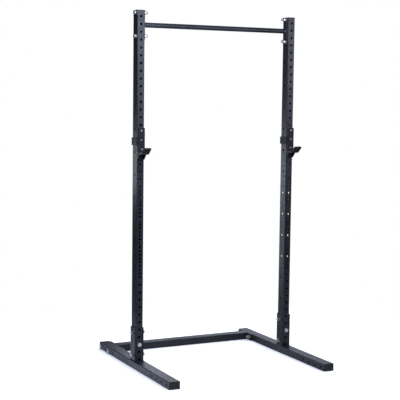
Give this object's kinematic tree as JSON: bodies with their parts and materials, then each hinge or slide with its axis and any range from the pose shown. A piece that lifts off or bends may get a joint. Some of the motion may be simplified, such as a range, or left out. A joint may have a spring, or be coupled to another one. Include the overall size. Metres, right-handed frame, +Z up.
{
  "type": "squat stand with pull-up bar",
  "caption": "Two-post squat stand with drilled uprights on flat feet, a rear floor crossmember, a round pull-up bar and a pair of lined J-cups.",
  "frame": {"origin": "centre of the footprint, on the floor", "axes": "+Z up, +Y to the rear where the crossmember is, +X to the right of a lifter who stands in front and faces the stand"},
  "size_m": [1.244, 1.2192, 2.3906],
  "materials": {
    "black_powder_coat": "satin textured powder coat",
    "zinc_hardware": "bright zinc plate",
    "black_cap_plastic": "fine moulded texture",
    "liner_plastic": "machined satin plastic"
  },
  "bodies": {
    "stand": {"bar_washers": "zinc_hardware", "crossmember_washers": "zinc_hardware", "left_bar_flange": "black_powder_coat", "left_bar_lower_bolt": "zinc_hardware", "left_bar_nuts": "zinc_hardware", "left_bar_upper_bolt": "zinc_hardware", "left_crossmember_flange": "black_powder_coat", "left_crossmember_front_bolt": "zinc_hardware", "left_crossmember_nuts": "zinc_hardware", "left_crossmember_rear_bolt": "zinc_hardware", "left_foot": "black_powder_coat", "left_foot_front_cap": "black_cap_plastic", "left_foot_rear_cap": "black_cap_plastic", "left_socket": "black_powder_coat", "left_socket_front_bolt": "zinc_hardware", "left_socket_lower_bolt": "zinc_hardware", "left_socket_nuts": "zinc_hardware", "left_socket_rear_nut": "zinc_hardware", "left_socket_upper_bolt": "zinc_hardware", "left_upright": "black_powder_coat", "left_upright_cap": "black_cap_plastic", "pull_up_bar": "black_powder_coat", "rear_crossmember": "black_powder_coat", "right_bar_flange": "black_powder_coat", "right_bar_lower_bolt": "zinc_hardware", "right_bar_nuts": "zinc_hardware", "right_bar_upper_bolt": "zinc_hardware", "right_crossmember_flange": "black_powder_coat", "right_crossmember_front_bolt": "zinc_hardware", "right_crossmember_nuts": "zinc_hardware", "right_crossmember_rear_bolt": "zinc_hardware", "right_foot": "black_powder_coat", "right_foot_front_cap": "black_cap_plastic", "right_foot_rear_cap": "black_cap_plastic", "right_socket": "black_powder_coat", "right_socket_front_bolt": "zinc_hardware", "right_socket_lower_bolt": "zinc_hardware", "right_socket_nuts": "zinc_hardware", "right_socket_rear_nut": "zinc_hardware", "right_socket_upper_bolt": "zinc_hardware", "right_upright": "black_powder_coat", "right_upright_cap": "black_cap_plastic", "socket_washers": "zinc_hardware"},
    "left_jcup": {"left_jcup_back_liner": "liner_plastic", "left_jcup_gussets": "black_powder_coat", "left_jcup_hook": "black_powder_coat", "left_jcup_hook_liner": "liner_plastic", "left_jcup_pin": "black_powder_coat", "left_jcup_plate": "black_powder_coat", "left_jcup_screws": "zinc_hardware", "left_jcup_strap": "black_powder_coat"},
    "right_jcup": {"right_jcup_back_liner": "liner_plastic", "right_jcup_gussets": "black_powder_coat", "right_jcup_hook": "black_powder_coat", "right_jcup_hook_liner": "liner_plastic", "right_jcup_pin": "black_powder_coat", "right_jcup_plate": "black_powder_coat", "right_jcup_screws": "zinc_hardware", "right_jcup_strap": "black_powder_coat"}
  },
  "joints": [
    {"name": "left_jcup_turn", "type": "hinge", "parent": "stand", "child": "left_jcup", "pos_m": [-0.5715, -0.0381, 1.5875], "axis": [0, 1, 0], "range_deg": [0, 90]},
    {"name": "right_jcup_turn", "type": "hinge", "parent": "stand", "child": "right_jcup", "pos_m": [0.5715, -0.0381, 1.5875], "axis": [0, 1, 0], "range_deg": [0, 90]}
  ]
}
